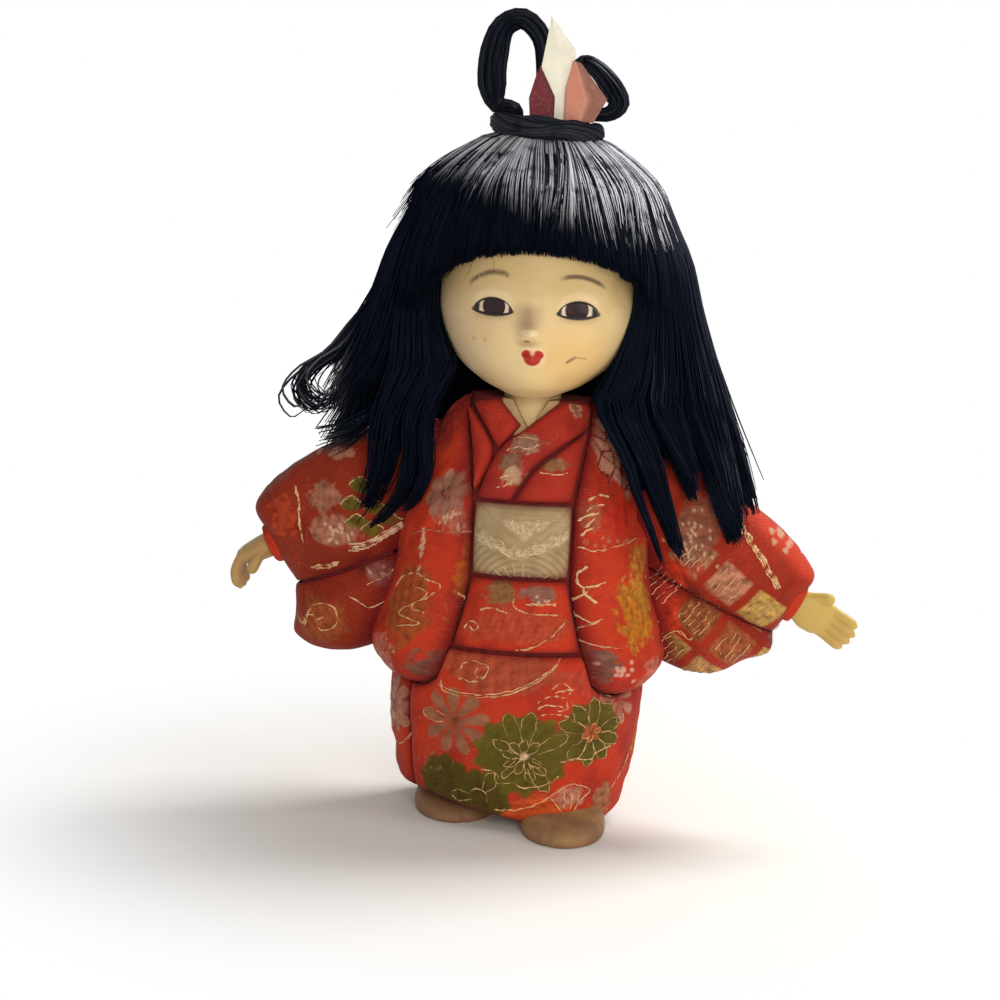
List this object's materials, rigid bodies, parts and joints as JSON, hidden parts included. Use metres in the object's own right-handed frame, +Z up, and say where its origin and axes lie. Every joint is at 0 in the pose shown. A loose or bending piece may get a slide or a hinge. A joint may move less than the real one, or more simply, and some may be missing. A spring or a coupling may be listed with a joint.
{
  "type": "kimekomi girl doll",
  "caption": "Standing Japanese girl doll with padded brocade kimono and open jacket, long black hair with a looped topknot, turning head and turning hands.",
  "frame": {"origin": "middle of the doll's bounding box, on the surface under the soles", "axes": "+Z up, the doll faces -Y, and its own left hand is towards +X"},
  "size_m": [0.1888, 0.0806, 0.239],
  "materials": {
    "wood_paste": "raw moulded wood paste",
    "peg_wood": "turned softwood",
    "shell_white": "shell-white coating, aged ivory, satin",
    "eye_glass": "dark brown inset glass",
    "hair": "blue-black silk floss, satin",
    "brocade": "red-orange brocade with worn metal thread",
    "lattice_brocade": "red and gold lattice brocade",
    "sash_cloth": "beige sash brocade with silver-gold waves",
    "collar_cloth": "red ribbed cloth",
    "crimson_paper": "crimson folded paper",
    "cream_paper": "cream folded paper",
    "pink_paper": "faded pink folded paper",
    "pin_wire": "plain wire"
  },
  "bodies": {
    "doll_body": {"torso_core": "wood_paste", "skirt_front": "brocade", "skirt_side": "brocade", "skirt_back": "brocade", "waist_fold": "brocade", "obi_front": "sash_cloth", "kimono_collar_left": "collar_cloth", "kimono_collar_right": "collar_cloth", "kimono_collar_nape": "collar_cloth", "kimono_bodice_left": "brocade", "kimono_bodice_right": "brocade", "haori_front_left": "brocade", "haori_front_right": "brocade", "haori_back": "brocade", "foot_left": "shell_white", "foot_peg_left": "peg_wood", "sleeve_core_left": "wood_paste", "shoulder_dowel_left": "peg_wood", "haori_sleeve_front_left": "lattice_brocade", "kimono_sleeve_front_left": "brocade", "haori_sleeve_back_left": "lattice_brocade", "kimono_sleeve_back_left": "brocade", "cuff_ring_left": "brocade", "foot_right": "shell_white", "foot_peg_right": "peg_wood", "sleeve_core_right": "wood_paste", "shoulder_dowel_right": "peg_wood", "haori_sleeve_front_right": "brocade", "kimono_sleeve_front_right": "brocade", "haori_sleeve_back_right": "brocade", "kimono_sleeve_back_right": "brocade", "cuff_ring_right": "brocade"},
    "head_unit": {"head": "shell_white", "neck_peg": "peg_wood", "eye_left": "eye_glass", "eye_right": "eye_glass", "wig_bangs": "hair", "wig_side_left": "hair", "wig_side_right": "hair", "wig_back": "hair", "wig_crown": "hair", "topknot_stem": "hair", "topknot_tie": "hair", "hair_loop_left": "hair", "hair_loop_right": "hair", "paper_crimson": "crimson_paper", "paper_cream": "cream_paper", "paper_pink": "pink_paper"},
    "hand_left_unit": {"hand_left": "shell_white", "wrist_pin_left": "pin_wire"},
    "hand_right_unit": {"hand_right": "shell_white", "wrist_pin_right": "pin_wire"}
  },
  "joints": [
    {"name": "head_turn", "type": "hinge", "parent": "doll_body", "child": "head_unit", "pos_m": [-0.00673, -0.00134, 0.113], "axis": [0, 0, 1], "range_deg": [-25, 25], "deforming": ["wig_side_left", "wig_side_right", "wig_back"]},
    {"name": "hand_left_turn", "type": "hinge", "parent": "doll_body", "child": "hand_left_unit", "pos_m": [0.06795, -0.00134, 0.07327], "axis": [0.8829, 0, -0.4695], "range_deg": [-20, 20]},
    {"name": "hand_right_turn", "type": "hinge", "parent": "doll_body", "child": "hand_right_unit", "pos_m": [-0.07527, -0.00134, 0.08181], "axis": [-0.8829, 0, -0.4695], "range_deg": [-20, 20]}
  ]
}
